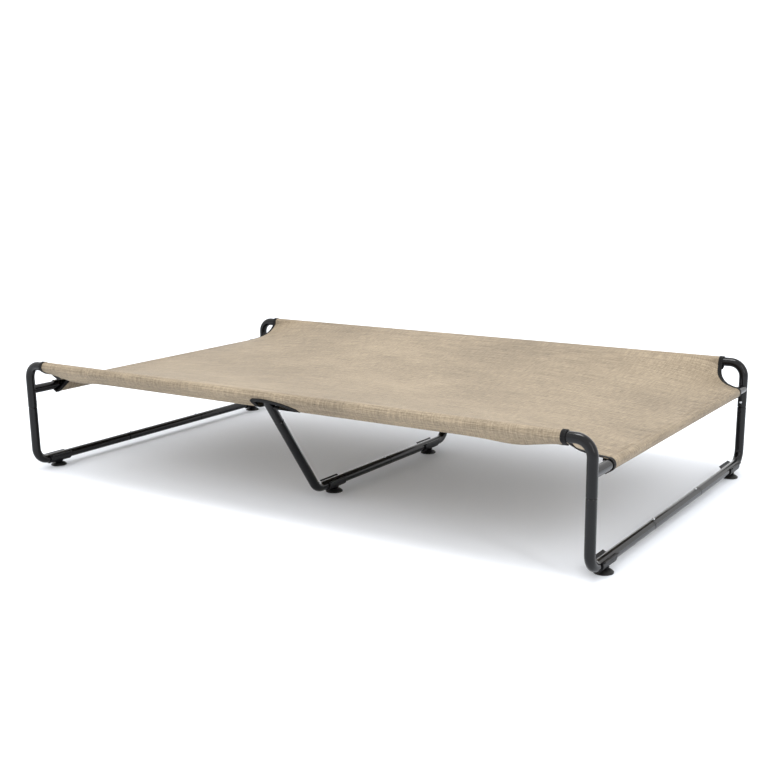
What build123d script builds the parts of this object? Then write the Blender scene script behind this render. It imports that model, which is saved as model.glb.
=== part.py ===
from build123d import *
import os
from math import atan2, cos, pi, sinh, sqrt

# Raised dog bed: a bolt-free steel tube frame with a mesh sling, six clip-on feet and snap buttons.
# Millimetres, +Z up.  X runs along the bed, Y across it, and the origin is on the floor at the middle.

# Tube stock
tube_diameter = 22.0
tube_wall = 1.2
spigot_clearance = 0.1
spigot_length = 40.0
neck_gap = 3.0
neck_taper = 2.0
tube_bend_radius = 34.0
weld_inset = 0.06
tube_radius = tube_diameter / 2
tube_bore_radius = tube_radius - tube_wall
spigot_radius = tube_bore_radius - spigot_clearance
spigot_bore_radius = spigot_radius - tube_wall
stub_radius = tube_radius - weld_inset

# Frame layout, measured to the tube axes
leg_axis_x = 769.0
leg_axis_y = 459.0
side_rail_height = 276.0
end_rail_drop = 64.0
floor_gap = 13.0
leg_seam_drop = 110.0
corner_arm_length = 179.0
tee_half_length = 60.0
end_stub_length = 89.0
floor_arm_length = 314.0
mid_leg_slant = 176.0
mid_floor_seam_y = 15.0
mid_stub_length = 77.0
end_rail_height = side_rail_height - end_rail_drop
floor_rail_height = tube_radius + floor_gap
leg_seam_height = side_rail_height - leg_seam_drop
corner_arm_seam_x = leg_axis_x - corner_arm_length
end_rail_seam_y = leg_axis_y - end_stub_length
floor_seam_y = leg_axis_y - floor_arm_length
mid_floor_corner_y = leg_axis_y - mid_leg_slant

# Snap buttons and their springs
button_radius = 3.2
button_clearance = 0.08
button_set_back = 12.0
button_proud = 2.4
button_flange_radius = 4.2
button_flange_thickness = 1.2
button_dome_radius = 1.4
spring_thickness = 0.5
spring_width = 7.0
spring_arm = 27.0
spring_bend_radius = 1.8
fit_gap = 0.1

# Clip-on feet
foot_inset = 68.0
clip_clearance = 0.08
clip_wall = 2.8
clip_length = 66.0
clip_mouth_lift = 7.0
clip_lip_length = 4.6
clip_lip_thickness = 2.6
clip_lip_tilt = 25.0
clip_neck_radius = 9.0
clip_peg_radius = 4.0
pad_radius = 20.0
pad_rim_height = 3.0
pad_height = 7.5
pad_peg_depth = 4.5
peg_clearance = 0.05

# Mesh sling
mesh_thickness = 1.6
sleeve_clearance = 0.4
pocket_wall = 1.2
side_mouth_gap = 51.0
end_mouth_gap = 63.0
sling_shift = 10.0
side_pocket_drop = 21.0
end_pocket_drop = 15.0
pocket_hem = 46.0
hem_round = 1.6
end_pull = 1.5
mesh_sag = 6.0
corner_scoop = 18.0
binding_width = 10.0
binding_thickness = 1.0
notch_half_length = 53.0
notch_half_width = 23.0
notch_inset = 11.0
notch_shift = 29.0
notch_top = 13.0
surface_steps = 24
corner_blend = 0.01
side_mouth_x = leg_axis_x - side_mouth_gap
end_mouth_y = leg_axis_y - end_mouth_gap

sides_x = {"left": -1, "right": 1}
sides_y = {"front": -1, "back": 1}

mid_leg_rise = side_rail_height - floor_rail_height
mid_leg_run = sqrt(mid_leg_slant**2 + mid_leg_rise**2)
lean = mid_leg_slant / mid_leg_run
climb = mid_leg_rise / mid_leg_run


def tube(points):
    """An open tube along straight runs, with a rounded bend at each inner point."""
    with BuildPart() as run:
        with BuildLine() as path:
            if len(points) > 2:
                FilletPolyline(*points, radius=tube_bend_radius)
            else:
                Line(*points)
        with BuildSketch(Plane(path.line @ 0, z_dir=path.line % 0)):
            Circle(tube_radius)
            Circle(tube_bore_radius, mode=Mode.SUBTRACT)
        sweep(path=path.line)
    return run.part


def rod(start, end, radius):
    """A solid round rod, used to fill or to cut."""
    axis = Vector(*end) - Vector(*start)
    with BuildPart() as bar:
        with BuildSketch(Plane(start, z_dir=axis)):
            Circle(radius)
        extrude(amount=axis.length)
    return bar.part


def spigot(shoulder, direction):
    """A necked-down tube end that slides into the bore of the next tube."""
    reach = neck_gap + spigot_length
    start = Plane(shoulder, z_dir=direction)
    with BuildPart() as end:
        with BuildSketch(start):
            Circle(tube_radius)
        with BuildSketch(start.offset(neck_taper)):
            Circle(spigot_radius)
        loft()
        with BuildSketch(start.offset(neck_taper)):
            Circle(spigot_radius)
        extrude(amount=reach - neck_taper)
        tip = end.edges().filter_by(GeomType.CIRCLE).sort_by(Axis(start.origin, start.z_dir))[-1]
        chamfer(tip, tube_wall / 3)
        with BuildSketch(start):
            Circle(spigot_bore_radius)
        extrude(amount=reach, mode=Mode.SUBTRACT)
    return end.part


def shoulder_before(mouth, direction):
    """Where a male tube stops at full width, a neck's gap short of the mouth that it enters."""
    return Vector(*mouth) - Vector(*direction) * neck_gap


def button_centre(mouth, direction):
    """The point on the tube axis under a snap button."""
    return Vector(*mouth) + Vector(*direction) * button_set_back


def snap_hole(mouth, direction, facing):
    """The hole that a snap button passes through, from the axis outwards."""
    centre = button_centre(mouth, direction)
    outside = centre + Vector(*facing) * (tube_radius + button_proud)
    return rod(centre, outside, button_radius + button_clearance)


# Each locked joint: the mouth of the outer tube, the way the spigot enters it, and the button's way out
inward = {side: (0, -sign, 0) for side, sign in sides_y.items()}
mid_up = {side: (0, sign * lean, climb) for side, sign in sides_y.items()}
mid_inner = {side: (0, -sign * climb, lean) for side, sign in sides_y.items()}


def leg_joint(side_x, side_y):
    mouth = (sides_x[side_x] * leg_axis_x, sides_y[side_y] * leg_axis_y, leg_seam_height + neck_gap / 2)
    return mouth, (0, 0, 1), inward[side_y]


def floor_joint(side_x, side_y):
    x = sides_x[side_x] * leg_axis_x
    y = sides_y[side_y] * (floor_seam_y - neck_gap / 2)
    mouth = (x, y, floor_rail_height)
    return mouth, inward[side_y], (0, 0, 1)


def mid_joint(side_y):
    along = Vector(*mid_up[side_y])
    top = Vector(0, sides_y[side_y] * leg_axis_y, side_rail_height)
    mouth = top - along * mid_stub_length
    return tuple(mouth), mid_up[side_y], mid_inner[side_y]


def mid_floor_joint():
    mouth = (0, mid_floor_seam_y, floor_rail_height)
    return mouth, inward["back"], (0, 0, 1)


def snap_joints():
    """Every locked joint by name."""
    joints = {}
    for side_x in sides_x:
        for side_y in sides_y:
            joints[f"leg_{side_y}_{side_x}"] = leg_joint(side_x, side_y)
            joints[f"floor_{side_y}_{side_x}"] = floor_joint(side_x, side_y)
    for side_y in sides_y:
        joints[f"mid_{side_y}"] = mid_joint(side_y)
    joints["mid_floor"] = mid_floor_joint()
    return joints


def corner_tube(side_x, side_y):
    """The bent top corner, with the end rail's stub welded to its leg."""
    x = sides_x[side_x] * leg_axis_x
    y = sides_y[side_y] * leg_axis_y
    arm_end = (sides_x[side_x] * corner_arm_seam_x, y, side_rail_height)
    mouth, upward, facing = leg_joint(side_x, side_y)
    bent = tube([arm_end, (x, y, side_rail_height), mouth])
    stub_root = (x, y, end_rail_height)
    seam = (x, sides_y[side_y] * end_rail_seam_y, end_rail_height)
    shoulder = shoulder_before(seam, inward[side_y])
    stub = rod(stub_root, shoulder, stub_radius)
    leg_core = rod(mouth, (x, y, side_rail_height - tube_bend_radius), tube_bore_radius)
    stub_bore_start = Vector(*stub_root) + Vector(*inward[side_y]) * tube_radius
    stub_bore = rod(stub_bore_start, shoulder, tube_bore_radius)
    with BuildPart() as corner:
        add(bent)
        add(stub)
        add(leg_core, mode=Mode.SUBTRACT)
        add(stub_bore, mode=Mode.SUBTRACT)
        add(spigot(shoulder, inward[side_y]))
        add(snap_hole(mouth, upward, facing), mode=Mode.SUBTRACT)
    return corner.part


def side_tube(side_x, side_y):
    """A straight side rail piece, necked at both ends, between the tee and a corner."""
    sign = sides_x[side_x]
    y = sides_y[side_y] * leg_axis_y
    inner = (sign * (tee_half_length + neck_gap), y, side_rail_height)
    outer = (sign * (corner_arm_seam_x - neck_gap), y, side_rail_height)
    with BuildPart() as rail:
        add(tube([inner, outer]))
        add(spigot(inner, (-sign, 0, 0)))
        add(spigot(outer, (sign, 0, 0)))
    return rail.part


def mid_tee(side_y):
    """The short middle piece of a side rail, with the slanting stub for the middle leg."""
    y = sides_y[side_y] * leg_axis_y
    left = (-tee_half_length, y, side_rail_height)
    right = (tee_half_length, y, side_rail_height)
    mouth, upward, facing = mid_joint(side_y)
    bore_start = Vector(0, y, side_rail_height) - Vector(*upward) * tube_radius
    stub = rod((0, y, side_rail_height), mouth, stub_radius)
    stub_bore = rod(bore_start, mouth, tube_bore_radius)
    with BuildPart() as tee:
        add(rod(left, right, tube_radius))
        add(stub)
        add(rod(left, right, tube_bore_radius), mode=Mode.SUBTRACT)
        add(stub_bore, mode=Mode.SUBTRACT)
        add(snap_hole(mouth, upward, facing), mode=Mode.SUBTRACT)
    return tee.part


def end_tube(side_x):
    """A plain tube that slides over the stubs of the two corners."""
    x = sides_x[side_x] * leg_axis_x
    with BuildPart() as rail:
        add(tube([(x, -end_rail_seam_y, end_rail_height), (x, end_rail_seam_y, end_rail_height)]))
    return rail.part


def leg_tube(side_x, side_y):
    """The bent lower leg, necked at both ends."""
    top_mouth, upward, top_facing = leg_joint(side_x, side_y)
    floor_mouth, along, floor_facing = floor_joint(side_x, side_y)
    top = shoulder_before(top_mouth, upward)
    end = shoulder_before(floor_mouth, along)
    bend = (top.X, top.Y, floor_rail_height)
    with BuildPart() as leg:
        add(tube([tuple(top), bend, tuple(end)]))
        add(spigot(top, upward))
        add(spigot(end, along))
        add(snap_hole(top_mouth, upward, top_facing), mode=Mode.SUBTRACT)
        add(snap_hole(floor_mouth, along, floor_facing), mode=Mode.SUBTRACT)
    return leg.part


def floor_tube(side_x):
    """The middle piece of an end floor rail, with a button hole near each mouth."""
    front = floor_joint(side_x, "front")
    back = floor_joint(side_x, "back")
    with BuildPart() as rail:
        add(tube([front[0], back[0]]))
        add(snap_hole(*front), mode=Mode.SUBTRACT)
        add(snap_hole(*back), mode=Mode.SUBTRACT)
    return rail.part


def mid_leg_front():
    """The slanting middle leg whose floor run is the outer tube of the middle joint."""
    top_mouth, upward, facing = mid_joint("front")
    top = shoulder_before(top_mouth, upward)
    seam = mid_floor_joint()
    with BuildPart() as leg:
        add(tube([tuple(top), (0, -mid_floor_corner_y, floor_rail_height), seam[0]]))
        add(spigot(top, upward))
        add(snap_hole(top_mouth, upward, facing), mode=Mode.SUBTRACT)
        add(snap_hole(*seam), mode=Mode.SUBTRACT)
    return leg.part


def mid_leg_back():
    """The slanting middle leg that is necked at both ends."""
    top_mouth, upward, facing = mid_joint("back")
    top = shoulder_before(top_mouth, upward)
    seam_mouth, along, seam_facing = mid_floor_joint()
    end = shoulder_before(seam_mouth, along)
    with BuildPart() as leg:
        add(tube([tuple(top), (0, mid_floor_corner_y, floor_rail_height), tuple(end)]))
        add(spigot(top, upward))
        add(spigot(end, along))
        add(snap_hole(top_mouth, upward, facing), mode=Mode.SUBTRACT)
        add(snap_hole(seam_mouth, along, seam_facing), mode=Mode.SUBTRACT)
    return leg.part


def flange_height():
    """How far from the tube axis a button's flange can sit without touching the curved wall."""
    return sqrt(spigot_bore_radius**2 - button_flange_radius**2) - fit_gap


def snap_button(mouth, direction, facing):
    """A domed button with a flange that keeps it inside the spigot."""
    top = flange_height()
    centre = Plane(button_centre(mouth, direction), z_dir=facing)
    with BuildPart() as button:
        with BuildSketch(centre.offset(top - button_flange_thickness)):
            Circle(button_flange_radius)
        extrude(amount=button_flange_thickness)
        with BuildSketch(centre.offset(top)):
            Circle(button_radius)
        extrude(amount=tube_radius + button_proud - top)
        fillet(button.edges().sort_by(Axis(centre.origin, centre.z_dir))[-1], button_dome_radius)
    return button.part


def snap_spring(mouth, direction, facing):
    """A folded leaf spring: one arm under the button, the other along the far wall of the spigot."""
    upper = flange_height() - button_flange_thickness - spring_thickness / 2 - fit_gap / 2
    lower = -(sqrt(spigot_bore_radius**2 - (spring_width / 2) ** 2) - spring_thickness / 2 - fit_gap)
    side = Vector(*direction).cross(Vector(*facing))
    leaf_plane = Plane(button_centre(mouth, direction), x_dir=direction, z_dir=side)
    with BuildPart() as spring:
        with BuildSketch(leaf_plane):
            with BuildLine():
                FilletPolyline(
                    (button_flange_radius, upper),
                    (-button_flange_radius, upper),
                    (-spring_arm, lower),
                    (button_flange_radius, lower),
                    radius=spring_bend_radius,
                )
            trace(line_width=spring_thickness)
        extrude(amount=spring_width / 2, both=True)
    return spring.part


def foot_places():
    """The six feet by name: the point on the floor rail axis above each one."""
    places = {}
    for side_y, sign_y in sides_y.items():
        for side_x, sign_x in sides_x.items():
            places[f"{side_y}_{side_x}"] = (sign_x * leg_axis_x, sign_y * (leg_axis_y - foot_inset))
        places[f"{side_y}_middle"] = (0, sign_y * (mid_floor_corner_y - foot_inset))
    return places


def foot_clip(x, y):
    """A snap-on saddle that grips the floor rail from below, with flared lips and a peg for the pad."""
    inner = tube_radius + clip_clearance
    outer = inner + clip_wall
    lip_x = sqrt(outer**2 - clip_mouth_lift**2) + clip_lip_length / 2
    section = Plane((x, y, floor_rail_height), x_dir=(1, 0, 0), z_dir=(0, -1, 0))
    neck_top = floor_rail_height - inner - clip_wall / 2
    with BuildPart() as clip:
        with BuildSketch(section):
            Circle(outer)
            with Locations((0, clip_mouth_lift + outer)):
                Rectangle(2 * outer, 2 * outer, mode=Mode.SUBTRACT)
            with Locations((lip_x, clip_mouth_lift)):
                SlotCenterToCenter(clip_lip_length, clip_lip_thickness, rotation=clip_lip_tilt)
            with Locations((-lip_x, clip_mouth_lift)):
                SlotCenterToCenter(clip_lip_length, clip_lip_thickness, rotation=-clip_lip_tilt)
            Circle(inner, mode=Mode.SUBTRACT)
        extrude(amount=clip_length / 2, both=True)
        with BuildSketch(Plane((x, y, pad_height))):
            Circle(clip_neck_radius)
        with BuildSketch(Plane((x, y, neck_top))):
            Circle(inner)
        loft()
        with BuildSketch(Plane((x, y, pad_height - pad_peg_depth))):
            Circle(clip_peg_radius)
        extrude(amount=pad_peg_depth)
    return clip.part


def foot_pad(x, y):
    """A round domed pad with a flat sole and a socket for the clip's peg."""
    section = Plane((x, y, 0), x_dir=(1, 0, 0), z_dir=(0, -1, 0))
    rim_top = (pad_radius - pad_rim_height / 3, pad_rim_height)
    dome_rise = (pad_rim_height + pad_height) / 2 + pad_rim_height / 3
    shoulder = ((pad_radius + clip_neck_radius) / 2, dome_rise)
    neck = (clip_neck_radius, pad_height)
    socket_floor = pad_height - pad_peg_depth - fit_gap
    socket = clip_peg_radius + peg_clearance
    with BuildPart() as pad:
        with BuildSketch(section):
            with BuildLine():
                Polyline(
                    rim_top,
                    (pad_radius, pad_rim_height * 2 / 3),
                    (pad_radius, 0),
                    (0, 0),
                    (0, socket_floor),
                    (socket, socket_floor),
                    (socket, pad_height),
                    neck,
                )
                ThreePointArc(neck, shoulder, rim_top)
            make_face()
        revolve(axis=Axis((x, y, 0), (0, 0, 1)))
    return pad.part


def mesh_height(x, y):
    """The height of the stretched mesh: a taut skin, high at the side rails and low at the end rails."""
    across = cos(pi * y / (2 * leg_axis_y)) + corner_blend
    share = 1.0
    for distance in (leg_axis_x - x, leg_axis_x + x):
        along = sinh(pi * distance / (2 * leg_axis_y * end_pull)) + corner_blend
        share -= atan2(across, along) * 2 / pi
    hang = mesh_sag * (1 - (x / leg_axis_x) ** 2) * (1 - (y / leg_axis_y) ** 2)
    return end_rail_height + tube_radius / 2 + end_rail_drop * share - hang


def mesh_sheet(thickness):
    """The saddle-shaped sheet out to all four rails."""
    rows = []
    for i in range(surface_steps + 1):
        x = leg_axis_x * (2 * i / surface_steps - 1)
        columns = [leg_axis_y * (2 * j / surface_steps - 1) for j in range(surface_steps + 1)]
        rows.append([(x, y, mesh_height(x, y)) for y in columns])
    surface = Face.make_surface_from_array_of_points(rows, tol=0.5)
    with BuildPart() as sheet:
        thicken(surface, amount=thickness / 2, both=True)
    return sheet.part


def pocket_fill(plane, half_length, drop, grow):
    """The solid outline of a loose sewn pocket round a rail: over the tube, down, and in to a hem."""
    with BuildPart() as fill:
        with BuildSketch(plane):
            Circle(tube_radius + sleeve_clearance + pocket_wall)
            with Locations((pocket_wall * 5, -drop)):
                Circle(hem_round + pocket_wall)
            with Locations((pocket_hem, tube_radius / 4)):
                Circle(hem_round)
            make_hull()
            offset(amount=grow)
        extrude(amount=half_length, both=True)
    return fill.part


def side_pocket(side_y, grow):
    along = Vector(*inward[side_y])
    centre = (0, sides_y[side_y] * leg_axis_y, side_rail_height)
    plane = Plane(centre, x_dir=along, z_dir=along.cross(Vector(0, 0, 1)))
    return pocket_fill(plane, side_mouth_x, side_pocket_drop, grow)


def end_pocket(side_x, grow):
    along = Vector(-sides_x[side_x], 0, 0)
    centre = (sides_x[side_x] * leg_axis_x, sling_shift, end_rail_height)
    plane = Plane(centre, x_dir=along, z_dir=along.cross(Vector(0, 0, 1)))
    return pocket_fill(plane, end_mouth_y, end_pocket_drop, grow)


def corner_block(side_x, side_y, grow):
    """An upright block over one corner; its inner edge is the scooped cut-out of the mesh."""
    mouth = Vector(side_mouth_x, leg_axis_y)
    end = Vector(leg_axis_x, end_mouth_y + sides_y[side_y] * sling_shift)
    chord = end - mouth
    deepest = (mouth + end) / 2 + Vector(chord.Y, -chord.X).normalized() * corner_scoop
    far_x = leg_axis_x + pocket_hem
    far_y = leg_axis_y + pocket_hem
    with BuildPart() as block:
        with BuildSketch():
            with BuildLine():
                ThreePointArc(mouth, deepest, end)
                Polyline(end, (far_x, end.Y), (far_x, far_y), (side_mouth_x, far_y), mouth)
            make_face()
            offset(amount=grow)
            if sides_x[side_x] < 0:
                mirror(about=Plane.YZ, mode=Mode.REPLACE)
            if sides_y[side_y] < 0:
                mirror(about=Plane.XZ, mode=Mode.REPLACE)
        extrude(amount=side_rail_height + pocket_hem)
    return block.part


def notch_block(side_y, grow):
    """An upright block under a side rail; it cuts the opening that lets the middle stub out."""
    centre = (sides_y[side_y] * -notch_shift, sides_y[side_y] * (leg_axis_y - notch_inset))
    top = side_rail_height - notch_top + grow
    with BuildPart() as block:
        with BuildSketch(Plane.XY.offset(top)):
            with Locations(centre):
                Ellipse(notch_half_length + grow, notch_half_width + grow)
        extrude(amount=-2 * pocket_hem)
    return block.part


def mesh_sling(sheet):
    """The whole mesh: the sheet and its four rail pockets, less the corner cut-outs and the notches."""
    with BuildPart() as sling:
        add(sheet)
        for side_y in sides_y:
            add(side_pocket(side_y, 0))
        for side_x in sides_x:
            add(end_pocket(side_x, 0))
        for side_y in sides_y:
            add(side_pocket(side_y, -pocket_wall), mode=Mode.SUBTRACT)
            add(notch_block(side_y, binding_width), mode=Mode.SUBTRACT)
        for side_x in sides_x:
            add(end_pocket(side_x, -pocket_wall), mode=Mode.SUBTRACT)
            for side_y in sides_y:
                add(corner_block(side_x, side_y, binding_width), mode=Mode.SUBTRACT)
    return sling.part


def corner_binding(sheet, side_x, side_y):
    """The tape that folds over the scooped edge and round the mouths of both pockets."""
    x = sides_x[side_x] * leg_axis_x
    y = sides_y[side_y] * leg_axis_y
    passage = tube_radius + sleeve_clearance / 2
    with BuildPart() as binding:
        add(sheet)
        add(side_pocket(side_y, binding_thickness))
        add(end_pocket(side_x, binding_thickness))
        add(side_pocket(side_y, -pocket_wall), mode=Mode.SUBTRACT)
        add(end_pocket(side_x, -pocket_wall), mode=Mode.SUBTRACT)
        add(corner_block(side_x, side_y, binding_width), mode=Mode.INTERSECT)
        add(corner_block(side_x, side_y, 0), mode=Mode.SUBTRACT)
        add(rod((0, y, side_rail_height), (x, y, side_rail_height), passage), mode=Mode.SUBTRACT)
        add(rod((x, 0, end_rail_height), (x, y, end_rail_height), passage), mode=Mode.SUBTRACT)
    return binding.part


def notch_binding(side_y):
    """The tape round the opening for the middle stub."""
    with BuildPart() as binding:
        add(side_pocket(side_y, binding_thickness))
        add(side_pocket(side_y, -pocket_wall), mode=Mode.SUBTRACT)
        add(notch_block(side_y, binding_width), mode=Mode.INTERSECT)
        add(notch_block(side_y, 0), mode=Mode.SUBTRACT)
    return binding.part


def write(name, piece):
    piece.label = name
    export_step(piece, f"parts/{name}.step")


def build_frame():
    for side_x in sides_x:
        write(f"end_tube_{side_x}", end_tube(side_x))
        write(f"floor_tube_{side_x}", floor_tube(side_x))
        for side_y in sides_y:
            write(f"corner_tube_{side_y}_{side_x}", corner_tube(side_x, side_y))
            write(f"side_tube_{side_y}_{side_x}", side_tube(side_x, side_y))
            write(f"leg_tube_{side_y}_{side_x}", leg_tube(side_x, side_y))
    for side_y in sides_y:
        write(f"mid_tee_{side_y}", mid_tee(side_y))
    write("mid_leg_front", mid_leg_front())
    write("mid_leg_back", mid_leg_back())


def build_snaps():
    springs = []
    for name, joint in snap_joints().items():
        write(f"snap_button_{name}", snap_button(*joint))
        springs.append(snap_spring(*joint))
    with BuildPart() as snap_springs:
        add(springs)
    write("snap_springs", snap_springs.part)


def build_feet():
    for name, (x, y) in foot_places().items():
        write(f"foot_clip_{name}", foot_clip(x, y))
        write(f"foot_pad_{name}", foot_pad(x, y))


def build_mesh():
    write("mesh_sling", mesh_sling(mesh_sheet(mesh_thickness)))
    taped_sheet = mesh_sheet(mesh_thickness + 2 * binding_thickness)
    for side_y in sides_y:
        write(f"notch_binding_{side_y}", notch_binding(side_y))
        for side_x in sides_x:
            write(f"corner_binding_{side_y}_{side_x}", corner_binding(taped_sheet, side_x, side_y))


os.makedirs("parts", exist_ok=True)
build_frame()
build_snaps()
build_feet()
build_mesh()
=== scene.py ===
from math import acos, atan2, cos, exp, hypot, pi, radians, sin, sinh, sqrt
import bpy
import numpy as np
from mathutils import Matrix, Vector


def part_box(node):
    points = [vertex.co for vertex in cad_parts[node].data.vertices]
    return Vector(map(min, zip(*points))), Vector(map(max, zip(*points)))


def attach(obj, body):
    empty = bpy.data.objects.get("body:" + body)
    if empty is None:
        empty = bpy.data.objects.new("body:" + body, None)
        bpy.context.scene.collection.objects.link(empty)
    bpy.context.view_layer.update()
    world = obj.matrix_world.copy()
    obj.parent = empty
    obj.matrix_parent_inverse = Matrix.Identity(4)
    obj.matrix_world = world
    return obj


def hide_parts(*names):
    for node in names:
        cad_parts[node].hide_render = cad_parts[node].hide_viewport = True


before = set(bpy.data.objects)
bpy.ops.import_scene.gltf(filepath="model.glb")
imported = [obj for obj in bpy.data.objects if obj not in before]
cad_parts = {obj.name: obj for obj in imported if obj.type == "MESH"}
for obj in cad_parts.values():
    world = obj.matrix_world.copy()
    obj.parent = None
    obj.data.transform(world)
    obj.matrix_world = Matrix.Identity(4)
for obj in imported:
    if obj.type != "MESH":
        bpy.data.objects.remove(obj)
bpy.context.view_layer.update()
mm = 0.001
print("frame loaded:", len(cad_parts), "CAD nodes")


def hexColour(text):
    # sRGB hex to the linear values that the shaders take
    parts = [int(text[i:i + 2], 16) / 255 for i in (1, 3, 5)]
    return tuple(c / 12.92 if c <= 0.04045 else ((c + 0.055) / 1.055) ** 2.4 for c in parts) + (1.0,)


def addNode(tree, kind, settings=None, inputs=None):
    node = tree.nodes.new(kind)
    for name, value in (settings or {}).items():
        setattr(node, name, value)
    for key, value in (inputs or {}).items():
        if isinstance(value, bpy.types.NodeSocket):
            tree.links.new(value, node.inputs[key])
        else:
            node.inputs[key].default_value = value
    return node


def startMaterial(name):
    material = bpy.data.materials.new(name)
    material.use_nodes = True
    tree = material.node_tree
    return material, tree, tree.nodes["Principled BSDF"]


def setShader(shader, values):
    for name, value in values.items():
        shader.inputs[name].default_value = value


def setRamp(node, stops):
    ramp = node.color_ramp
    while len(ramp.elements) < len(stops):
        ramp.elements.new(0.5)
    for element, (place, shade) in zip(ramp.elements, stops):
        element.position = place
        element.color = hexColour(shade) if isinstance(shade, str) else (shade, shade, shade, 1)
    return node


def bandScale(pitch):
    # a wave texture's bands repeat every pi/10 at scale 1
    return pi / 10 / pitch


powderCoat = {
    "dark": "#040405",
    "light": "#09090b",
    "patches": 9.0,        # faint patches per metre
    "roughness": (0.1, 0.18),
    "peel": 1.6 * mm,      # width of one orange-peel dimple
    "peelDepth": 0.012 * mm,
    "gloss": 0.25,
    "ior": 1.5,
}


def powderCoatedSteel():
    # sprayed and baked polyester powder: a glossy black with a faint orange peel
    material, tree, shader = startMaterial("powderCoatedSteel")
    where = addNode(tree, "ShaderNodeTexCoord").outputs["Object"]
    cloud = addNode(tree, "ShaderNodeTexNoise", None,
                    {"Vector": where, "Scale": powderCoat["patches"], "Detail": 4.0})
    shade = setRamp(addNode(tree, "ShaderNodeValToRGB", None, {"Fac": cloud.outputs["Fac"]}),
                    [(0.35, powderCoat["dark"]), (0.7, powderCoat["light"])])
    low, high = powderCoat["roughness"]
    rough = addNode(tree, "ShaderNodeMapRange", None,
                    {"Value": cloud.outputs["Fac"], "From Min": 0.3, "From Max": 0.7,
                     "To Min": low, "To Max": high})
    peel = addNode(tree, "ShaderNodeTexNoise", None,
                   {"Vector": where, "Scale": 1 / powderCoat["peel"] / 2, "Detail": 1.0})
    bump = addNode(tree, "ShaderNodeBump", None,
                   {"Height": peel.outputs["Fac"], "Strength": 0.5, "Distance": powderCoat["peelDepth"]})
    tree.links.new(shade.outputs["Color"], shader.inputs["Base Color"])
    tree.links.new(rough.outputs["Result"], shader.inputs["Roughness"])
    tree.links.new(bump.outputs["Normal"], shader.inputs["Normal"])
    setShader(shader, {"IOR": powderCoat["ior"], "Specular IOR Level": powderCoat["gloss"]})
    return material


zincPlate = {
    "colour": "#c9cacc",
    "shadow": "#9ea0a4",
    "roughness": (0.18, 0.34),
    "grit": 0.25 * mm,
}


def zincPlatedSteel(name, darken=1.0):
    # pressed steel with a bright zinc plate: pale grey with a fine drawn grain
    material, tree, shader = startMaterial(name)
    where = addNode(tree, "ShaderNodeTexCoord").outputs["Object"]
    grain = addNode(tree, "ShaderNodeTexNoise", None,
                    {"Vector": where, "Scale": 1 / zincPlate["grit"] / 4, "Detail": 3.0})
    shade = setRamp(addNode(tree, "ShaderNodeValToRGB", None, {"Fac": grain.outputs["Fac"]}),
                    [(0.3, zincPlate["shadow"]), (0.65, zincPlate["colour"])])
    dim = addNode(tree, "ShaderNodeMix", {"data_type": "RGBA", "blend_type": "MULTIPLY"},
                  {0: 1.0, 6: shade.outputs["Color"], 7: (darken, darken, darken, 1)})
    low, high = zincPlate["roughness"]
    rough = addNode(tree, "ShaderNodeMapRange", None,
                    {"Value": grain.outputs["Fac"], "To Min": low, "To Max": high})
    tree.links.new(dim.outputs[2], shader.inputs["Base Color"])
    tree.links.new(rough.outputs["Result"], shader.inputs["Roughness"])
    setShader(shader, {"Metallic": 1.0})
    return material


polypropylene = {
    "dark": "#08080a",
    "light": "#101013",
    "flow": 35.0,          # flow marks per metre
    "roughness": (0.4, 0.55),
    "spark": 0.5 * mm,     # grit of the eroded skin
    "sparkDepth": 0.03 * mm,
    "gloss": 0.28,
    "ior": 1.49,
}


def mouldedPolypropylene():
    # injection-moulded, spark-eroded skin: a satin black, a touch greyer than the tubes
    material, tree, shader = startMaterial("mouldedPolypropylene")
    where = addNode(tree, "ShaderNodeTexCoord").outputs["Object"]
    flow = addNode(tree, "ShaderNodeTexNoise", None,
                   {"Vector": where, "Scale": polypropylene["flow"], "Detail": 3.0, "Distortion": 0.6})
    shade = setRamp(addNode(tree, "ShaderNodeValToRGB", None, {"Fac": flow.outputs["Fac"]}),
                    [(0.35, polypropylene["dark"]), (0.7, polypropylene["light"])])
    low, high = polypropylene["roughness"]
    rough = addNode(tree, "ShaderNodeMapRange", None,
                    {"Value": flow.outputs["Fac"], "To Min": low, "To Max": high})
    spark = addNode(tree, "ShaderNodeTexNoise", None,
                    {"Vector": where, "Scale": 1 / polypropylene["spark"] / 2, "Detail": 2.0})
    bump = addNode(tree, "ShaderNodeBump", None,
                   {"Height": spark.outputs["Fac"], "Strength": 0.35, "Distance": polypropylene["sparkDepth"]})
    tree.links.new(shade.outputs["Color"], shader.inputs["Base Color"])
    tree.links.new(rough.outputs["Result"], shader.inputs["Roughness"])
    tree.links.new(bump.outputs["Normal"], shader.inputs["Normal"])
    setShader(shader, {"IOR": polypropylene["ior"], "Specular IOR Level": polypropylene["gloss"]})
    return material


padRubber = {
    "dark": "#070707",
    "light": "#100f0f",
    "bloom": 60.0,         # dusty patches per metre
    "roughness": (0.42, 0.62),
    "gloss": 0.28,
    "ior": 1.52,
}


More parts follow.
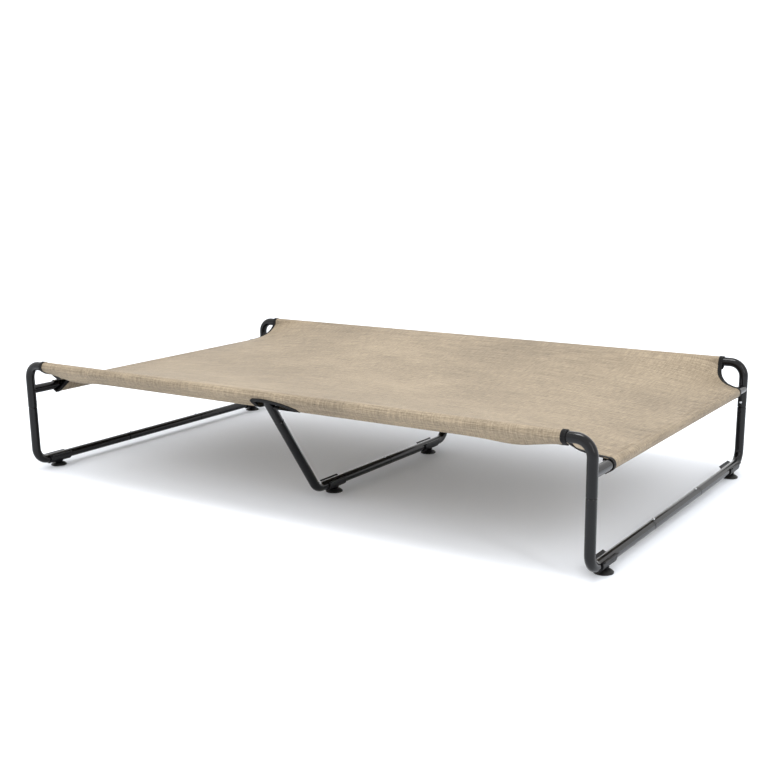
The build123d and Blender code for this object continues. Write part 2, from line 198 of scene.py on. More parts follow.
def mouldedRubber():
    # compression-moulded rubber: deep black with a low sheen and a dusty bloom in patches
    material, tree, shader = startMaterial("mouldedRubber")
    where = addNode(tree, "ShaderNodeTexCoord").outputs["Object"]
    bloom = addNode(tree, "ShaderNodeTexNoise", None,
                    {"Vector": where, "Scale": padRubber["bloom"], "Detail": 5.0})
    shade = setRamp(addNode(tree, "ShaderNodeValToRGB", None, {"Fac": bloom.outputs["Fac"]}),
                    [(0.4, padRubber["dark"]), (0.75, padRubber["light"])])
    low, high = padRubber["roughness"]
    rough = addNode(tree, "ShaderNodeMapRange", None,
                    {"Value": bloom.outputs["Fac"], "To Min": low, "To Max": high})
    tree.links.new(shade.outputs["Color"], shader.inputs["Base Color"])
    tree.links.new(rough.outputs["Result"], shader.inputs["Roughness"])
    setShader(shader, {"IOR": padRubber["ior"], "Specular IOR Level": padRubber["gloss"]})
    return material


meshCloth = {
    "dark": "#5c5244",
    "mid": "#7f725f",
    "light": "#998b75",
    "yarn": 2.6 * mm,          # real yarns lie 1.1 mm apart, drawn coarser so that the weave shows
    "streak": (95 * mm, 3.2 * mm),     # length and width of a run of one shade along the bed
    "slub": (2.6 * mm, 38 * mm),       # the same across the bed
    "fleck": (9 * mm, 1.6 * mm),
    "patch": (350 * mm, 220 * mm),
    "mix": (0.4, 0.33, 0.18),          # shares of slubs, flecks and patches
    "roughness": 0.62,
    "gloss": 0.3,
    "bump": 0.22 * mm,
}


def wovenMesh():
    # PVC-coated polyester yarns in a plain weave: heathered tan, streaked along the bed, a dull plastic sheen,
    # with painted shade between the yarns
    material, tree, shader = startMaterial("wovenMesh")
    cloth = addNode(tree, "ShaderNodeAttribute", {"attribute_name": "cloth"}).outputs["Vector"]
    yarn = meshCloth["yarn"]

    def stretched(size, detail, seed):
        scale = (1 / size[0], 1 / size[1], 1.0)
        mapped = addNode(tree, "ShaderNodeMapping", None,
                         {"Vector": cloth, "Scale": scale, "Location": (seed, seed, 0)})
        return addNode(tree, "ShaderNodeTexNoise", None,
                       {"Vector": mapped.outputs["Vector"], "Scale": 1.0, "Detail": detail}).outputs["Fac"]

    streaks = stretched(meshCloth["streak"], 2.0, 3.7)
    slubs = stretched(meshCloth["slub"], 1.0, 8.1)
    flecks = stretched(meshCloth["fleck"], 1.0, 5.3)
    patches = stretched(meshCloth["patch"], 2.0, 1.9)
    mixed = streaks
    for share, added in zip(meshCloth["mix"], (slubs, flecks, patches)):
        mixed = addNode(tree, "ShaderNodeMix", {"data_type": "FLOAT"},
                        {0: share, 2: mixed, 3: added}).outputs[0]
    shade = setRamp(addNode(tree, "ShaderNodeValToRGB", None, {"Fac": mixed}),
                    [(0.36, meshCloth["dark"]), (0.5, meshCloth["mid"]), (0.62, meshCloth["light"])])
    warp, weft = (addNode(tree, "ShaderNodeTexWave", {"bands_direction": way},
                          {"Vector": cloth, "Scale": bandScale(yarn)}) for way in ("Y", "X"))
    over = addNode(tree, "ShaderNodeTexChecker", None, {"Vector": cloth, "Scale": 1 / yarn})
    weave = addNode(tree, "ShaderNodeMix", {"data_type": "FLOAT"},
                    {0: over.outputs["Fac"], 2: warp.outputs["Fac"], 3: weft.outputs["Fac"]})
    # painted shade: the hollows between the yarns, low in the weave's bump, are darkened towards half
    gapShade = setRamp(addNode(tree, "ShaderNodeValToRGB", None, {"Fac": weave.outputs[0]}),
                   [(0.0, 0.5), (0.4, 1.0)])
    colour = addNode(tree, "ShaderNodeMix", {"data_type": "RGBA", "blend_type": "MULTIPLY"},
                     {0: 0.6, 6: shade.outputs["Color"], 7: gapShade.outputs["Color"]})
    bump = addNode(tree, "ShaderNodeBump", None,
                   {"Height": weave.outputs[0], "Strength": 0.6, "Distance": meshCloth["bump"]})
    tree.links.new(colour.outputs[2], shader.inputs["Base Color"])
    tree.links.new(bump.outputs["Normal"], shader.inputs["Normal"])
    setShader(shader, {"Roughness": meshCloth["roughness"], "IOR": 1.5,
                       "Specular IOR Level": meshCloth["gloss"]})
    return material


tapeLook = {
    "dark": "#060606",
    "light": "#141313",
    "rib": 1.4 * mm,
    "fuzz": 700.0,         # specks of loose fibre per metre
    "roughness": 0.8,
    "bump": 0.25 * mm,
    "sheen": 0.04,
    "gloss": 0.15,
}


def wovenTape():
    # polyester grosgrain tape: matt black with close ribs across it
    material, tree, shader = startMaterial("wovenTape")
    cloth = addNode(tree, "ShaderNodeAttribute", {"attribute_name": "cloth"}).outputs["Vector"]
    ribs = addNode(tree, "ShaderNodeTexWave", {"bands_direction": "X"},
                   {"Vector": cloth, "Scale": bandScale(tapeLook["rib"])})
    fuzz = addNode(tree, "ShaderNodeTexNoise", None,
                   {"Vector": cloth, "Scale": tapeLook["fuzz"], "Detail": 3.0})
    both = addNode(tree, "ShaderNodeMix", {"data_type": "FLOAT"},
                   {0: 0.4, 2: ribs.outputs["Fac"], 3: fuzz.outputs["Fac"]})
    shade = setRamp(addNode(tree, "ShaderNodeValToRGB", None, {"Fac": both.outputs[0]}),
                    [(0.2, tapeLook["dark"]), (0.9, tapeLook["light"])])
    bump = addNode(tree, "ShaderNodeBump", None,
                   {"Height": both.outputs[0], "Strength": 0.6, "Distance": tapeLook["bump"]})
    tree.links.new(shade.outputs["Color"], shader.inputs["Base Color"])
    tree.links.new(bump.outputs["Normal"], shader.inputs["Normal"])
    setShader(shader, {"Roughness": tapeLook["roughness"], "Sheen Weight": tapeLook["sheen"],
                       "Specular IOR Level": tapeLook["gloss"]})
    return material


sewingThread = {
    "tan": ("#756b5d", "#938877"),
    "black": ("#0b0b0b", "#232222"),
    "twist": 1.2 * mm,
    "roughness": 0.5,
}


def spunThread(name, dark, light):
    # bonded polyester sewing thread: a twisted two-tone strand with a slight gloss
    material, tree, shader = startMaterial(name)
    where = addNode(tree, "ShaderNodeTexCoord").outputs["Object"]
    twist = addNode(tree, "ShaderNodeTexWave", {"bands_direction": "DIAGONAL"},
                    {"Vector": where, "Scale": bandScale(sewingThread["twist"]),
                     "Distortion": 1.5, "Detail": 2.0})
    shade = setRamp(addNode(tree, "ShaderNodeValToRGB", None, {"Fac": twist.outputs["Fac"]}),
                    [(0.2, dark), (0.8, light)])
    tree.links.new(shade.outputs["Color"], shader.inputs["Base Color"])
    setShader(shader, {"Roughness": sewingThread["roughness"]})
    return material


coat = powderCoatedSteel()
plate = zincPlatedSteel("zincPlatedSteel")
springSteel = zincPlatedSteel("temperedSpringSteel", 0.55)
plastic = mouldedPolypropylene()
rubber = mouldedRubber()
cloth = wovenMesh()
tape = wovenTape()
tanThread = spunThread("tanThread", *sewingThread["tan"])
blackThread = spunThread("blackThread", *sewingThread["black"])

finishes = {
    "snap_button": plate,
    "snap_springs": springSteel,
    "foot_clip": plastic,
    "foot_pad": rubber,
}
for name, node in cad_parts.items():
    look = next((m for start, m in finishes.items() if name.startswith(start)), coat)
    node.data.materials.clear()
    node.data.materials.append(look)
print("CAD nodes finished")


def centreOf(node):
    low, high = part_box(node)
    return (low + high) / 2


railX = centreOf("end_tube_right").x
railY = centreOf("side_tube_back_right").y
sideZ = centreOf("side_tube_back_right").z
endZ = centreOf("end_tube_right").z
tubeRadius = (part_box("end_tube_right")[1].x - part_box("end_tube_right")[0].x) / 2

slingCut = {
    "thickness": 1.0 * mm,
    "slack": 0.35 * mm,            # air between tube and cloth
    "sideMouth": railX - 51 * mm,  # how far along the side sleeves reach
    "endMouth": railY - 63 * mm,   # how far across the bed the end sleeves reach
    "shift": 10 * mm,              # the sling sits this much nearer the back
    "scoop": 18 * mm,              # how deep the corner edge curves in
    "hemReach": 600 * mm,          # the side sleeves' undersides are cut slanting back to here
    "edgeCut": 1.4 * mm,           # the cloth stops this far inside its tape
    "sideDrop": (15 * mm, 24 * mm),    # at the mouths and along the middle
    "dropReach": 110 * mm,         # from the one to the other over this length
    "slackDrop": 4 * mm,           # more where the underside's cut ends
    "slackReach": 55 * mm,
    "endDrop": 15 * mm,
    "foldRadius": 2.2 * mm,
    "foldIn": 6 * mm,
    "hem": 46 * mm,
    "endHem": 20 * mm,
    "endSlant": 30 * mm,           # the end sleeves' undersides are cut back this far at the hem
    "slantPower": 1.5,             # 1 is a straight cut
    "belly": {"side": 1.0, "end": 0.55},   # how loosely the undersides hang
    "endPull": 1.5,                # how far in the lower end rails draw the sheet down
    "sag": 6 * mm,
    "cornerDip": 14 * mm,          # the free corner edges sink below the line between their ends
    "seamRipple": {                # height, reach either side of the seam, waves, wander
        "side": (0.3 * mm, 9 * mm, 260, 3, 7),
        "end": (0.45 * mm, 6 * mm, 240, 2, 9),
    },
    "pucker": (0.35 * mm, 11 * mm, 6 * mm, 236, 97),    # on the end sleeves: height, middle, reach, waves
    "notchReach": (27 * mm, 82 * mm),   # to the left and right of the middle stub, seen from outside
    "notchTop": 13 * mm,
    "notchBow": 2.5 * mm,
    "stubRoom": 32 * mm,           # the notch opens this much deeper round the stub
    "stubHalf": 18 * mm,
    "tapeWidth": 10 * mm,
    "tapeThickness": 0.7 * mm,
    "tapeRise": 0.45 * mm,         # the tape's middle lies this far off the cloth's
    "tapeBevel": 0.45 * mm,
}
wrapRadius = tubeRadius + slingCut["slack"] + slingCut["thickness"] / 2
profileSteps = {"wrap": 16, "fold": 6, "under": 12}
foldEnd = profileSteps["wrap"] + profileSteps["fold"] + 1    # the profile's point where the underside starts
probe = {"tangent": 0.4 * mm, "slant": 0.3 * mm}    # steps for measuring directions
tiny = 1e-6


def endMouth(signY):
    return slingCut["endMouth"] + signY * slingCut["shift"]


def cornerScoop(signY):
    # the circle that the corner's edge follows: (start, end, centre, radius)
    start = Vector((slingCut["sideMouth"], railY))
    end = Vector((railX, endMouth(signY)))
    chord = end - start
    radius = (chord.length ** 2 / 4 + slingCut["scoop"] ** 2) / (2 * slingCut["scoop"])
    outward = Vector((-chord.y, chord.x)).normalized()
    return start, end, (start + end) / 2 + outward * (radius - slingCut["scoop"]), radius


scoops = {sign: cornerScoop(sign) for sign in (-1, 1)}


def smooth(t):
    t = min(max(t, 0.0), 1.0)
    return t * t * (3 - 2 * t)


def edgeX(y):
    # how far the cloth reaches along the bed on the line at this y
    signY = 1 if y > 0 else -1
    y = abs(y)
    if y <= endMouth(signY):
        return railX
    if y >= railY:
        return slingCut["sideMouth"]
    centre, radius = scoops[signY][2:]
    return centre.x - sqrt(radius ** 2 - (y - centre.y) ** 2)


def seamRipple(seam, distance, along, across):
    height, reach, waves, wander, slow = slingCut["seamRipple"][seam]
    return height * sin(along * waves + wander * sin(across * slow)) * exp(-(distance / reach) ** 2)


def meshHeight(x, y):
    # a taut skin: high at the side rails, low at the end rails, lying on the tops of the tubes
    x, y = min(abs(x), railX), min(abs(y), railY)
    share = 1.0
    for distance in (railX - x, railX + x):
        along = sinh(pi * distance / (2 * railY * slingCut["endPull"]))
        share -= atan2(max(cos(pi * y / (2 * railY)), tiny), along + tiny) * 2 / pi
    u, v = 1 - (x / railX) ** 2, 1 - (y / railY) ** 2
    ripple = seamRipple("side", railY - y - slingCut["hem"], x, y)
    ripple += seamRipple("end", railX - x - slingCut["endHem"], y, x)
    dip = slingCut["cornerDip"] * 4 * share * (1 - share) * (x * y / (railX * railY)) ** 4
    lift = wrapRadius - (wrapRadius - tubeRadius / 2) * u * v - dip
    height = endZ + lift + (sideZ - endZ) * share - slingCut["sag"] * u * v + ripple
    # where the skin falls away steeply it still goes over the tube
    for gap, axis in ((railY - y, sideZ), (railX - x, endZ)):
        if gap < wrapRadius:
            height = max(height, axis + sqrt(wrapRadius ** 2 - gap ** 2))
    return height


def sleeveProfile(drop, hem, hemRise, belly):
    # (inwards, up) points from the top of the rail, round it, down to the loose fold and in to the hem
    bottom = (slingCut["foldIn"], -drop)
    fold = slingCut["foldRadius"]
    turn = atan2(bottom[1], bottom[0]) - acos((wrapRadius - fold) / hypot(*bottom))
    leave = turn + 2 * pi
    points = []
    for i in range(profileSteps["wrap"] + 1):
        a = pi / 2 + (leave - pi / 2) * i / profileSteps["wrap"]
        points.append((wrapRadius * cos(a), wrapRadius * sin(a)))
    flat = atan2(hemRise - bottom[1], hem - bottom[0]) * (1 - belly) - pi / 2
    for i in range(profileSteps["fold"] + 1):
        a = turn + (flat - turn) * i / profileSteps["fold"]
        points.append((bottom[0] + fold * cos(a), bottom[1] + fold * sin(a)))
    last = points[-1]
    middle = ((last[0] + hem) / 2, (last[1] + hemRise) / 2)
    loose = (hem - 2 * mm, last[1] - 1 * mm)
    pull = [m + (w - m) * belly for m, w in zip(middle, loose)]
    for i in range(1, profileSteps["under"] + 1):
        t = i / profileSteps["under"]
        points.append(tuple((1 - t) ** 2 * a + 2 * t * (1 - t) * c + t * t * b
                            for a, c, b in zip(last, pull, (hem, hemRise))))
    return np.array(points)


def lengths(points):
    steps = np.linalg.norm(np.diff(points, axis=0), axis=1)
    return np.concatenate([[0], np.cumsum(steps)])


def alongProfile(points, run, s):
    # the (inwards, up) place at arc length s, and the (inwards, up) direction out of the cloth there
    def at(length):
        return np.array([np.interp(length, run, points[:, 0]), np.interp(length, run, points[:, 1])])

    d = at(min(s + probe["tangent"], run[-1])) - at(max(s - probe["tangent"], 0))
    d /= max(np.linalg.norm(d), 1e-9)
    return *at(s), d[1], -d[0]


profileCache = {}


def sideProfile(x):
    key = round(abs(x), 4)
    if key not in profileCache:
        low, high = slingCut["sideDrop"]
        drop = low + (high - low) * smooth((slingCut["sideMouth"] - abs(x)) / slingCut["dropReach"])
        drop += slingCut["slackDrop"] * exp(-((abs(x) - slingCut["hemReach"]) / slingCut["slackReach"]) ** 2)
        hemRise = meshHeight(x, railY - slingCut["hem"]) - sideZ - slingCut["thickness"] * 1.1
        points = sleeveProfile(drop, slingCut["hem"], hemRise, slingCut["belly"]["side"])
        profileCache[key] = (points, lengths(points))
    return profileCache[key]


def sidePoint(x, s, signY, out=0.0):
    # the point of a side sleeve at arc length s past the crest
    t, z, outwards, upwards = alongProfile(*sideProfile(x), s)
    return Vector((x, signY * (railY - t - outwards * out), sideZ + z + upwards * out))


def underShare(s, run):
    # 0 at the fold and 1 at the hem, for the slanting cuts
    fold = run[foldEnd]
    return min(max(s - fold, 0) / (run[-1] - fold), 1) ** slingCut["slantPower"]


def sideLimit(s, run):
    # how far along the bed a side sleeve reaches at arc length s
    return slingCut["sideMouth"] + (slingCut["hemReach"] - slingCut["sideMouth"]) * underShare(s, run)


def endProfile(y):
    hemRise = meshHeight(railX - slingCut["endHem"], y) - endZ - slingCut["thickness"] * 1.1
    points = sleeveProfile(slingCut["endDrop"], slingCut["endHem"], hemRise, slingCut["belly"]["end"])
    return points, lengths(points)


def endLimit(s, run, signY):
    # how far across the bed an end sleeve reaches at arc length s
    return endMouth(signY) - slingCut["endSlant"] * underShare(s, run)


def endPoint(y, s, signX, out=0.0):
    # the outer face puckers a little between the stitches of its seam
    height, middle, reach, close, wide = slingCut["pucker"]
    out += height * (sin(y * close) + 0.5 * sin(y * wide)) * exp(-((s - middle) / reach) ** 2)
    t, z, outwards, upwards = alongProfile(*endProfile(y), s)
    # along the bed the push goes towards the rail, and up and down it goes away from it
    return Vector((signX * (railX - t + outwards * out), y, endZ + z + upwards * out))


class Piece:
    # collects points and faces, with each point's place on the flat cloth
    def __init__(self):
        self.points, self.flat, self.faces, self.index = [], [], [], {}

    def add(self, point, flat):
        key = (round(point[0], 5), round(point[1], 5), round(point[2], 5), round(flat[0], 3), round(flat[1], 3))
        if key not in self.index:
            self.index[key] = len(self.points)
            self.points.append(tuple(point))
            self.flat.append((flat[0], flat[1], 0.0))
        return self.index[key]

    def face(self, corners):
        kept = [c for i, c in enumerate(corners) if c != corners[i - 1]]
        if len(kept) > 2:
            self.faces.append(kept)

    def grid(self, rows, flip=False):
        for a, b in zip(rows, rows[1:]):
            for i in range(len(a) - 1):
                quad = [a[i], a[i + 1], b[i + 1], b[i]]
                self.face(quad[::-1] if flip else quad)

    def build(self, name, material):
        mesh = bpy.data.meshes.new(name)
        mesh.from_pydata(self.points, [], self.faces)
        mesh.validate()
        mesh.attributes.new("cloth", "FLOAT_VECTOR", "POINT").data.foreach_set(
            "vector", np.array(self.flat, np.float32)[:len(mesh.vertices)].ravel())
        mesh.polygons.foreach_set("use_smooth", [True] * len(mesh.polygons))
        mesh.materials.append(material)
        piece = bpy.data.objects.new(name, mesh)
        bpy.context.collection.objects.link(piece)
        return piece


def solidify(piece, thickness, bevel=0.0):
    shell = piece.modifiers.new("thickness", "SOLIDIFY")
    shell.thickness = thickness
    shell.offset = 0.0
    shell.use_even_offset = False
    if bevel:
        edge = piece.modifiers.new("softEdge", "BEVEL")
        edge.width = bevel
        edge.segments = 2
        edge.limit_method = "ANGLE"
        edge.angle_limit = radians(50)


meshSteps = {
    "even": 12 * mm,        # steps along the bed
    "evenHalf": 550 * mm,   # they reach this far from the middle, and shares take over
    "close": 2 * mm,        # steps round the notches
    "least": 1.2 * mm,
    "tail": 16,             # shares near the corners
}


def evenColumns():
    def steps(reach, size):
        return set(np.round(np.arange(-reach, reach + tiny, size), 4))

    even = steps(meshSteps["evenHalf"], meshSteps["even"])
    values = sorted(even | steps(max(slingCut["notchReach"]), meshSteps["close"]))
    return [float(v) for i, v in enumerate(values) if i == 0 or v - values[i - 1] > meshSteps["least"]]


columns = evenColumns()


def rowX(limit):
    inner = meshSteps["evenHalf"]
    right = [inner + (limit - inner) * i / meshSteps["tail"] for i in range(1, meshSteps["tail"] + 1)]
    return [-x for x in reversed(right)] + columns + right


def notchEdges(x, signY):
    # where the opening for the middle stub starts and ends in arc length, or None beside it
    along = -signY * x
    left, right = -slingCut["notchReach"][0], slingCut["notchReach"][1]
    share = (along - left) / (right - left)
    if not 0 < share < 1:
        return None
    points, run = sideProfile(x)
    outer = slice(profileSteps["wrap"] // 4, points[:foldEnd + 1, 1].argmin() + 1)
    start = float(np.interp(slingCut["notchTop"], -points[outer, 1], run[outer]))
    fold = run[outer][-1]
    # the upper edge falls late and the lower edge early, which makes a lens
    top = start + (fold - start) * share ** 2.4 - slingCut["notchBow"] * sin(pi * share)
    room = slingCut["stubRoom"] * exp(-((along + 2 * mm) / slingCut["stubHalf"]) ** 4)
    return top, start + (fold - start) * share ** 0.5 + room


def sleeveSplit(x):
    # the arc length at the bottom of the fold
    points, run = sideProfile(x)
    return float(run[points[:foldEnd + 1, 1].argmin()])


def crossRows():
    # the lines along the bed, closer where the corner edges curve and over the side rails
    rows = [0.0]
    flatHalf, steep, overTube = 360 * mm, 14 * mm, 12 * mm
    for signY in (-1, 1):
        reach = endMouth(signY)
        part = [*np.linspace(0, flatHalf, 25)[1:], *np.linspace(flatHalf, reach, 5)[1:],
                *np.linspace(reach, railY - steep, 17)[1:], *(railY - np.linspace(overTube, 0, 9))]
        rows += [float(signY * round(v, 6)) for v in part]
    return sorted(rows)


def makeSling():
    piece = Piece()
    cut = slingCut["edgeCut"]
    allRows = crossRows()
    rows = []
    for y in allRows:
        past = abs(y) > endMouth(1 if y > 0 else -1) + 1e-5
        rows.append([piece.add((x, y, meshHeight(x, y)), (x, y)) for x in rowX(edgeX(y) - cut * past)])
    piece.grid(rows)
    for signY in (-1, 1):
        # round the rail as far as the notch's edge, then the underside in to the hem
        for part, count in (("outer", 24), ("under", 12)):
            strip = []
            for j in range(count + 1):
                line = []
                for i, x in enumerate(rowX(slingCut["sideMouth"] - cut)):
                    run = sideProfile(x)[1]
                    split = sleeveSplit(x)
                    edges = notchEdges(x, signY)
                    if part == "outer":
                        stop = edges[0] - cut if edges else split
                        s = stop * j / count
                    else:
                        start = edges[1] + cut if edges else split
                        s = start + (run[-1] - start) * j / count
                    x = rowX(sideLimit(s, run) - cut)[i]
                    line.append(piece.add(sidePoint(x, s, signY), (x, signY * (railY + s))))
                strip.append(line)
            piece.grid(strip, flip=signY < 0)
    endRun, count = endProfile(0)[1], 30
    for signX in (-1, 1):
        strip = []
        for j in range(count + 1):
            s = endRun[-1] * j / count
            line = []
            for y0 in allRows:
                signY = 1 if y0 > 0 else -1
                if abs(y0) > endMouth(signY) + 1e-5:
                    continue
                y = y0 / endMouth(signY) * (endLimit(s, endRun, signY) - cut * (j > 0))
                line.append(piece.add(endPoint(y, s, signX), (signX * (railX + s), y)))
            strip.append(line)
        piece.grid(strip, flip=signX > 0)
    sling = piece.build("mesh_sling_cloth", cloth)
    solidify(sling, slingCut["thickness"])
    return sling


sling = makeSling()
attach(sling, "frame")
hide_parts("mesh_sling")
print("sling made:", len(sling.data.vertices), "points")


cornerSteps = {
    "across": 6,
    "side": 52,
    "scoop": 31,
    "end": 36,
    "turnIn": 0.1,     # the scoop's lines turn to the sleeves' over these shares of it
    "turnOut": 0.28,
}


def slantedLine(limit, point, s, backs):
    # a line across the tape on a sleeve, square to the sleeve's cut edge
    slope = (limit(s + probe["slant"]) - limit(s - probe["slant"])) / (2 * probe["slant"])
    normal = Vector((-1, slope)).normalized()
    return [point(limit(s) + normal.x * back, max(s + normal.y * back, 0), 1, slingCut["tapeRise"])
            for back in backs]


def cornerLines(signY):
    # lines across the tape, each from its free edge inwards, in the quarter where x and y are positive
    across = cornerSteps["across"]
    backs = [slingCut["tapeWidth"] * k / across for k in range(across + 1)]
    # the side sleeve, from the hem out along the slanting cut and up to the crest
    run = sideProfile(slingCut["sideMouth"])[1]
    lines = [slantedLine(lambda s: sideLimit(s, run), sidePoint, s, backs)
             for s in np.linspace(run[-1], 0, cornerSteps["side"])]
    # the scooped edge down to the end rail, turning to meet the sleeves' edges at both ends
    mouth, end, centre, radius = scoops[signY]
    start = atan2(mouth.y - centre.y, mouth.x - centre.x) % (2 * pi)
    stop = atan2(end.y - centre.y, end.x - centre.x) % (2 * pi)
    turnIn, turnOut = cornerSteps["turnIn"], cornerSteps["turnOut"]
    for i in range(1, cornerSteps["scoop"]):
        share = i / cornerSteps["scoop"]
        a = start + (stop - start) * share
        normal = Vector((cos(a), sin(a)))
        turned = normal.lerp(Vector((0, -1)), smooth((share - 1 + turnOut) / turnOut)).normalized()
        turned = turned.lerp(Vector((-1, 0)), smooth(1 - share / turnIn)).normalized()
        edge = centre + normal * radius
        places = [edge + turned * back for back in backs]
        lines.append([Vector((q.x, q.y, meshHeight(q.x, q.y) + slingCut["tapeRise"])) for q in places])
    # round the end rail to its hem
    endRun = endProfile(endMouth(signY))[1]
    lines += [slantedLine(lambda s: endLimit(s, endRun, signY), endPoint, s, backs)
              for s in np.linspace(0, endRun[-1], cornerSteps["end"])]
    return lines


def tapeFrom(name, rows, piece, flip):
    piece.grid(rows, flip=flip)
    binding = piece.build(name, tape)
    solidify(binding, slingCut["thickness"] + 2 * slingCut["tapeThickness"], slingCut["tapeBevel"])
    return binding


def cornerTape(name, signX, signY):
    piece = Piece()
    rows = []
    run, previous = 0.0, None
    step = slingCut["tapeWidth"] / cornerSteps["across"]
    for line in cornerLines(signY):
        if previous is not None:
            run += (line[0] - previous).length
        previous = line[0]
        rows.append([piece.add((signX * p.x, signY * p.y, p.z), (run, step * k))
                     for k, p in enumerate(line)])
    return tapeFrom(name, rows, piece, signX * signY > 0)


def notchTape(name, signY):
    piece = Piece()
    width = slingCut["tapeWidth"]
    left, right = -slingCut["notchReach"][0], slingCut["notchReach"][1]
    upper, lower = [], []
    for i in range(61):
        share = min(max(0.5 - 0.5 * cos(pi * i / 60), 1e-4), 1 - 1e-4)
        x = -signY * (left + (right - left) * share)
        edges = notchEdges(x, signY)
        upper.append((x, edges[0]))
        lower.append((x, edges[1]))
    loop = upper + lower[::-1][1:-1]
    count, across = len(loop), 5
    rows, run = [], 0.0
    for i in range(count + 1):
        x, s = loop[i % count]
        ahead, behind = loop[(i + 2) % count], loop[(i - 2) % count]
        along = Vector((ahead[0] - behind[0], ahead[1] - behind[1])).normalized()
        away = Vector((along.y, -along.x))
        if i:
            run += hypot(x - last[0], s - last[1])
        last = (x, s)
        line = []
        for k in range(across + 1):
            q = Vector((x, s)) + away * (width * k / across)
            p = sidePoint(q.x, max(q.y, 0.5 * mm), signY, slingCut["tapeRise"])
            line.append(piece.add(p, (run, width * k / across)))
        rows.append(line)
    return tapeFrom(name, rows, piece, signY > 0)


for sideName, signY in (("front", -1), ("back", 1)):
    notch = notchTape(f"notch_tape_{sideName}", signY)
    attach(notch, "frame")
    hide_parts(f"notch_binding_{sideName}")
    for endName, signX in (("left", -1), ("right", 1)):
        corner = cornerTape(f"corner_tape_{sideName}_{endName}", signX, signY)
        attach(corner, "frame")
        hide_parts(f"corner_binding_{sideName}_{endName}")
print("bindings made")


threadSize = {
    "stitch": 3.0 * mm,
    "pitch": 4.4 * mm,
    "radius": 0.25 * mm,
    "shape": [(-0.04, 0.25), (0.12, 0.85), (0.5, 1.0), (0.88, 0.85), (1.04, 0.25)],    # (along, thickness)
    "sides": 6,
    "seam": (4.5 * mm, 0.5 * mm),    # the two rows of a hem, back from its edge
    "clear": 2 * mm,                 # the hems' rows stop this far short of the tapes
}


def addStitch(points, faces, start, end, up):
    along = (end - start).normalized()
    side = along.cross(up).normalized()
    top = side.cross(along).normalized()
    base, sides, shape = len(points), threadSize["sides"], threadSize["shape"]
    for share, size in shape:
        middle = start.lerp(end, share)
        for k in range(sides):
            a = 2 * pi * k / sides
            points.append(middle + (side * cos(a) + top * sin(a)) * threadSize["radius"] * size)
    for ring in range(len(shape) - 1):
        for k in range(sides):
            a, b = base + ring * sides + k, base + ring * sides + (k + 1) % sides
            faces.append((a, b, b + sides, a + sides))
    faces.append(tuple(base + k for k in reversed(range(sides))))
    faces.append(tuple(base + (len(shape) - 1) * sides + k for k in range(sides)))


def stitchRow(points, faces, place, length):
    # place(distance along the row) gives (point, up)
    for i in range(int(length / threadSize["pitch"])):
        a = i * threadSize["pitch"]
        start, up = place(a)
        addStitch(points, faces, start, place(a + threadSize["stitch"])[0], up)


def buildThread(name, points, faces, material):
    mesh = bpy.data.meshes.new(name)
    mesh.from_pydata([tuple(p) for p in points], [], faces)
    mesh.polygons.foreach_set("use_smooth", [True] * len(mesh.polygons))
    mesh.materials.append(material)
    piece = bpy.data.objects.new(name, mesh)
    bpy.context.collection.objects.link(piece)
    return piece


def hemStitches():
    points, faces = [], []
    up = Vector((0, 0, 1))
    rise = slingCut["thickness"] / 2 + 0.1 * mm
    clear = slingCut["tapeWidth"] + threadSize["clear"]
    for sign in (-1, 1):
        for step in threadSize["seam"]:
            y = sign * (railY - slingCut["hem"] + step)
            reach = edgeX(y) - clear

            def place(d, y=y, reach=reach):
                x = -reach + d
                return Vector((x, y, meshHeight(x, y) + rise)), up
            stitchRow(points, faces, place, 2 * reach)
            x = sign * (railX - slingCut["endHem"] + step)
            front, back = (endMouth(side) - clear for side in (-1, 1))

            def placeEnd(d, x=x, front=front):
                y = -front + d
                return Vector((x, y, meshHeight(x, y) + rise)), up
            stitchRow(points, faces, placeEnd, front + back)
    return buildThread("hem_stitches", points, faces, tanThread)


def tapeStitches():
    # two rows of dashes along each corner tape, on the outside
    points, faces = [], []
    rise = slingCut["thickness"] / 2 + slingCut["tapeThickness"]
    for signY in (-1, 1):
        lines = cornerLines(signY)
        for k in (1, 5):
            path = [line[k] for line in lines]
            ups = []
            for i, line in enumerate(lines):
                along = path[min(i + 1, len(path) - 1)] - path[max(i - 1, 0)]
                ups.append((line[5] - line[1]).cross(along).normalized())
            run = lengths(np.array(path))
            for signX in (-1, 1):
                def place(d, signX=signX, path=path, ups=ups, run=run):
                    i = min(int(np.searchsorted(run, d, side="right")) - 1, len(path) - 2)
                    share = (d - run[i]) / max(run[i + 1] - run[i], 1e-9)
                    p = path[i].lerp(path[i + 1], share)
                    up = ups[i].lerp(ups[i + 1], share).normalized()
                    p += up * rise
                    mirror = Vector((signX, signY, 1))
                    return p * mirror, up * mirror
                stitchRow(points, faces, place, run[-1] - threadSize["pitch"])
    return buildThread("tape_stitches", points, faces, blackThread)


stitches = hemStitches()
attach(stitches, "frame")
edging = tapeStitches()
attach(edging, "frame")

flatWidth = 2 * (railY + sideProfile(0)[1][-1])
flatLength = 2 * (railX + endProfile(0)[1][-1])
print("sling cut", round(flatWidth, 4), "by", round(flatLength, 4))
print("stitching made")


studio = {
    "floor": ("#e6eaf0", "#ebeef3"),
    "floorClouds": 0.7,
    "floorHalf": 14.0,
    "world": 1.55,
    "lights": {            # place, target, size, watts
        "topSoftbox": ((0.3, -0.4, 3.2), (0, 0, 0.25), (1.6, 1.0), 74),
        "rightStrip": ((3.2, -1.6, 1.8), (0.4, 0, 0.25), (0.4, 2.2), 20),
        "leftStrip": ((-1.5, -3.2, 2.3), (0, -0.3, 0.2), (0.15, 1.8), 16),
    },
}


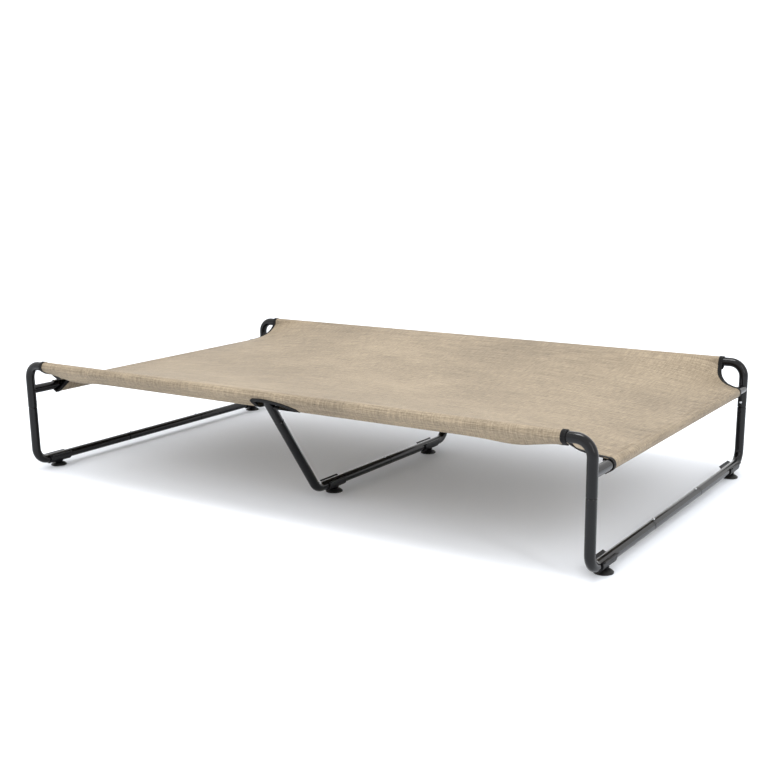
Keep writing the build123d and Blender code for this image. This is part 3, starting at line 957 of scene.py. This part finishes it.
def makeFloor():
    half = studio["floorHalf"]
    mesh = bpy.data.meshes.new("studioFloor")
    mesh.from_pydata([(-half, -half, 0), (half, -half, 0), (half, half, 0), (-half, half, 0)],
                     [], [(0, 1, 2, 3)])
    floor = bpy.data.objects.new("studioFloor", mesh)
    bpy.context.collection.objects.link(floor)
    material, tree, shader = startMaterial("paintedStudioFloor")
    where = addNode(tree, "ShaderNodeTexCoord").outputs["Object"]
    cloud = addNode(tree, "ShaderNodeTexNoise", None,
                    {"Vector": where, "Scale": studio["floorClouds"], "Detail": 2.0})
    shade = setRamp(addNode(tree, "ShaderNodeValToRGB", None, {"Fac": cloud.outputs["Fac"]}),
                    list(zip((0.3, 0.7), studio["floor"])))
    tree.links.new(shade.outputs["Color"], shader.inputs["Base Color"])
    setShader(shader, {"Roughness": 0.6, "Specular IOR Level": 0.2})
    mesh.materials.append(material)


def makeLight(name, place, target, size, energy):
    lamp = bpy.data.lights.new(name, "AREA")
    lamp.shape = "RECTANGLE"
    lamp.size, lamp.size_y = size
    lamp.energy = energy
    holder = bpy.data.objects.new(name, lamp)
    holder.location = place
    holder.rotation_euler = (Vector(target) - Vector(place)).to_track_quat("-Z", "Y").to_euler()
    bpy.context.collection.objects.link(holder)


makeFloor()
for name, values in studio["lights"].items():
    makeLight(name, *values)

world = bpy.data.worlds.new("studioSurround")
world.use_nodes = True
setShader(world.node_tree.nodes["Background"], {"Color": (1, 1, 1, 1), "Strength": studio["world"]})
bpy.context.scene.world = world
bpy.context.scene.view_settings.view_transform = "Standard"

view = {
    "place": (1.5700, -2.3234, 0.7744),
    "yaw": -0.5753,
    "pitch": 0.2354,
    "roll": -0.0088,
    "lens": 53.2716,
    "sensor": 36,
    "shift": (-0.026784, 0.061966),    # of the frame's width
}


def makeCamera():
    data = bpy.data.cameras.new("studioCamera")
    data.sensor_width = view["sensor"]
    data.lens = view["lens"]
    data.shift_x, data.shift_y = view["shift"]
    data.clip_start, data.clip_end = 0.05, 60
    holder = bpy.data.objects.new("studioCamera", data)
    yaw, pitch, roll = view["yaw"], view["pitch"], view["roll"]
    ahead = Vector((sin(yaw) * cos(pitch), cos(yaw) * cos(pitch), -sin(pitch)))
    right = Vector((cos(yaw), -sin(yaw), 0))
    up = right.cross(ahead)
    across = right * cos(roll) + up * sin(roll)
    above = -right * sin(roll) + up * cos(roll)
    turn = Matrix((across, above, -ahead)).transposed().to_4x4()
    holder.matrix_world = Matrix.Translation(view["place"]) @ turn
    bpy.context.collection.objects.link(holder)
    bpy.context.scene.camera = holder


makeCamera()
print("studio ready")
